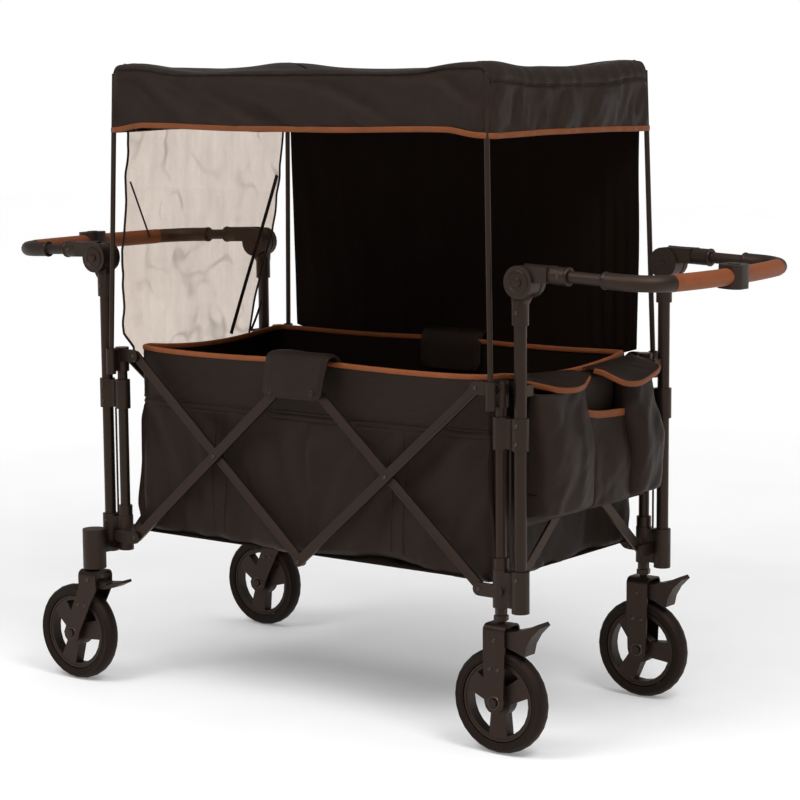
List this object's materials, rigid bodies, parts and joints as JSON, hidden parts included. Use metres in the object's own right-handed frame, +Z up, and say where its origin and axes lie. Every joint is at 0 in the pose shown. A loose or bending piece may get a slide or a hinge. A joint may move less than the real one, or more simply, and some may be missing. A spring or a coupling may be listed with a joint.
{
  "type": "folding pull wagon",
  "caption": "Folding fabric pull wagon: scissor-linked end frames, swivel front casters, braked rear wheels, canopy on rods, sliding handles and rear pockets.",
  "frame": {"origin": "centre of the bounding box at floor level", "axes": "+X towards the rear end with the pockets, +Y towards the side with the curtain, +Z up"},
  "size_m": [1.5746, 0.629, 1.208],
  "materials": {
    "frame_metal": "charcoal powder coat, satin",
    "black_plastic": "fine grained, satin",
    "hub_plastic": "moulded, satin",
    "tyre_rubber": "matt rubber",
    "wagon_fabric": "woven polyester, matt",
    "sheer_mesh": "fine net",
    "tan_leather": "tan synthetic leather"
  },
  "bodies": {
    "rear_frame": {"lower_bracket_rear_near": "black_plastic", "lower_bracket_rear_far": "black_plastic", "handle_tube_rear_near": "frame_metal", "handle_tube_rear_far": "frame_metal", "end_brace_rear": "frame_metal", "fork_rear_near": "frame_metal", "fork_rear_far": "frame_metal"},
    "front_frame": {"lower_bracket_front_near": "black_plastic", "lower_bracket_front_far": "black_plastic", "handle_tube_front_near": "frame_metal", "handle_tube_front_far": "frame_metal", "end_brace_front": "frame_metal"},
    "rear_posts": {"corner_post_rear_near": "frame_metal", "corner_post_rear_far": "frame_metal", "canopy_rod_rear_near": "frame_metal", "canopy_rod_rear_far": "frame_metal", "tub": "wagon_fabric", "floor_mat": "wagon_fabric", "canopy": "wagon_fabric", "side_curtain": "wagon_fabric", "mesh_panel": "sheer_mesh", "pocket_organizer": "wagon_fabric"},
    "front_posts": {"corner_post_front_near": "frame_metal", "corner_post_front_far": "frame_metal", "canopy_rod_front_near": "frame_metal", "canopy_rod_front_far": "frame_metal"},
    "rear_inner_bars": {"scissor_rear_inner_near": "frame_metal", "scissor_rear_inner_far": "frame_metal"},
    "front_outer_bars": {"scissor_front_outer_near": "frame_metal", "scissor_front_outer_far": "frame_metal"},
    "rear_outer_bars": {"scissor_rear_outer_near": "frame_metal", "scissor_rear_outer_far": "frame_metal"},
    "front_inner_bars": {"scissor_front_inner_near": "frame_metal", "scissor_front_inner_far": "frame_metal"},
    "rear_handle_arms": {"handle_arm_rear_near": "black_plastic", "handle_arm_rear_far": "black_plastic"},
    "rear_handle": {"handle_bar_rear": "black_plastic", "grip_rear": "tan_leather", "release_block_rear": "black_plastic"},
    "rear_release_button": {"release_button_rear": "black_plastic"},
    "front_handle_arms": {"handle_arm_front_near": "black_plastic", "handle_arm_front_far": "black_plastic"},
    "front_handle": {"handle_bar_front": "black_plastic", "grip_front": "tan_leather", "release_block_front": "black_plastic"},
    "front_release_button": {"release_button_front": "black_plastic"},
    "front_caster_near": {"fork_front_near": "frame_metal"},
    "swivel_lock_near": {"swivel_lock_near": "black_plastic"},
    "front_wheel_near": {"tyre_front_near": "tyre_rubber", "wheel_hub_front_near": "hub_plastic"},
    "rear_wheel_near": {"tyre_rear_near": "tyre_rubber", "wheel_hub_rear_near": "hub_plastic"},
    "brake_pedal_near": {"brake_pedal_near": "black_plastic"},
    "front_caster_far": {"fork_front_far": "frame_metal"},
    "swivel_lock_far": {"swivel_lock_far": "black_plastic"},
    "front_wheel_far": {"tyre_front_far": "tyre_rubber", "wheel_hub_front_far": "hub_plastic"},
    "rear_wheel_far": {"tyre_rear_far": "tyre_rubber", "wheel_hub_rear_far": "hub_plastic"},
    "brake_pedal_far": {"brake_pedal_far": "black_plastic"}
  },
  "joints": [
    {"name": "fold", "type": "hinge", "parent": "rear_frame", "child": "rear_inner_bars", "pos_m": [0.41, 0, 0.293], "axis": [0, 1, 0], "range_deg": [0, 38], "deforming": ["tub", "floor_mat", "canopy", "side_curtain", "mesh_panel", "pocket_organizer"]},
    {"name": "fold_front_outer", "type": "hinge", "parent": "rear_inner_bars", "child": "front_outer_bars", "pos_m": [0, 0, 0.652], "axis": [0, 1, 0], "range_deg": [-76, 0]},
    {"name": "fold_rear_outer", "type": "hinge", "parent": "rear_inner_bars", "child": "rear_outer_bars", "pos_m": [0.205, 0, 0.4725], "axis": [0, 1, 0], "range_deg": [-76, 0]},
    {"name": "fold_front_inner", "type": "hinge", "parent": "front_outer_bars", "child": "front_inner_bars", "pos_m": [-0.205, 0, 0.4725], "axis": [0, 1, 0], "range_deg": [0, 76]},
    {"name": "fold_rear_posts", "type": "hinge", "parent": "rear_outer_bars", "child": "rear_posts", "pos_m": [0.41, 0, 0.652], "axis": [0, 1, 0], "range_deg": [0, 38]},
    {"name": "fold_front_posts", "type": "hinge", "parent": "front_inner_bars", "child": "front_posts", "pos_m": [-0.41, 0, 0.652], "axis": [0, 1, 0], "range_deg": [-38, 0]},
    {"name": "fold_front_frame", "type": "hinge", "parent": "front_outer_bars", "child": "front_frame", "pos_m": [-0.41, 0, 0.293], "axis": [0, 1, 0], "range_deg": [0, 38]},
    {"name": "rear_handle_pivot", "type": "hinge", "parent": "rear_frame", "child": "rear_handle_arms", "pos_m": [0.5, 0, 0.84], "axis": [0, 1, 0], "range_deg": [-87, 57]},
    {"name": "rear_handle_slide", "type": "slide", "parent": "rear_handle_arms", "child": "rear_handle", "axis": [0.9991, 0, -0.0419], "range_m": [-0.04, 0.006]},
    {"name": "rear_release", "type": "slide", "parent": "rear_handle", "child": "rear_release_button", "axis": [-0.0419, 0, -0.9991], "range_m": [0, 0.0025], "stiffness_N_per_m": 600},
    {"name": "front_handle_pivot", "type": "hinge", "parent": "front_frame", "child": "front_handle_arms", "pos_m": [-0.5, 0, 0.84], "axis": [0, -1, 0], "range_deg": [-87, 57]},
    {"name": "front_handle_slide", "type": "slide", "parent": "front_handle_arms", "child": "front_handle", "axis": [-0.9991, 0, -0.0419], "range_m": [-0.022, 0.024]},
    {"name": "front_release", "type": "slide", "parent": "front_handle", "child": "front_release_button", "axis": [0.0419, 0, -0.9991], "range_m": [0, 0.0025], "stiffness_N_per_m": 600},
    {"name": "caster_swivel_near", "type": "hinge", "parent": "front_frame", "child": "front_caster_near", "pos_m": [-0.493, -0.286, 0.25], "axis": [0, 0, 1], "continuous": true},
    {"name": "swivel_lock_press_near", "type": "hinge", "parent": "front_caster_near", "child": "swivel_lock_near", "pos_m": [-0.49, -0.286, 0.2], "axis": [0, 1, 0], "range_deg": [0, 8]},
    {"name": "front_wheel_spin_near", "type": "hinge", "parent": "front_caster_near", "child": "front_wheel_near", "pos_m": [-0.539, -0.286, 0.095], "axis": [0, 1, 0], "continuous": true},
    {"name": "rear_wheel_spin_near", "type": "hinge", "parent": "rear_frame", "child": "rear_wheel_near", "pos_m": [0.45, -0.24, 0.095], "axis": [0, 1, 0], "continuous": true},
    {"name": "brake_press_near", "type": "hinge", "parent": "rear_frame", "child": "brake_pedal_near", "pos_m": [0.45, -0.24, 0.21], "axis": [0, 1, 0], "range_deg": [0, 8]},
    {"name": "caster_swivel_far", "type": "hinge", "parent": "front_frame", "child": "front_caster_far", "pos_m": [-0.493, 0.286, 0.25], "axis": [0, 0, 1], "continuous": true},
    {"name": "swivel_lock_press_far", "type": "hinge", "parent": "front_caster_far", "child": "swivel_lock_far", "pos_m": [-0.49, 0.286, 0.2], "axis": [0, 1, 0], "range_deg": [0, 8]},
    {"name": "front_wheel_spin_far", "type": "hinge", "parent": "front_caster_far", "child": "front_wheel_far", "pos_m": [-0.539, 0.286, 0.095], "axis": [0, 1, 0], "continuous": true},
    {"name": "rear_wheel_spin_far", "type": "hinge", "parent": "rear_frame", "child": "rear_wheel_far", "pos_m": [0.45, 0.24, 0.095], "axis": [0, 1, 0], "continuous": true},
    {"name": "brake_press_far", "type": "hinge", "parent": "rear_frame", "child": "brake_pedal_far", "pos_m": [0.45, 0.24, 0.21], "axis": [0, 1, 0], "range_deg": [0, 8]}
  ],
  "couplings": [
    {"joint": "fold_front_outer", "follows": "fold", "ratio": -2},
    {"joint": "fold_rear_outer", "follows": "fold", "ratio": -2},
    {"joint": "fold_front_inner", "follows": "fold", "ratio": 2},
    {"joint": "fold_rear_posts", "follows": "fold", "ratio": 1},
    {"joint": "fold_front_posts", "follows": "fold", "ratio": -1},
    {"joint": "fold_front_frame", "follows": "fold", "ratio": 1}
  ]
}
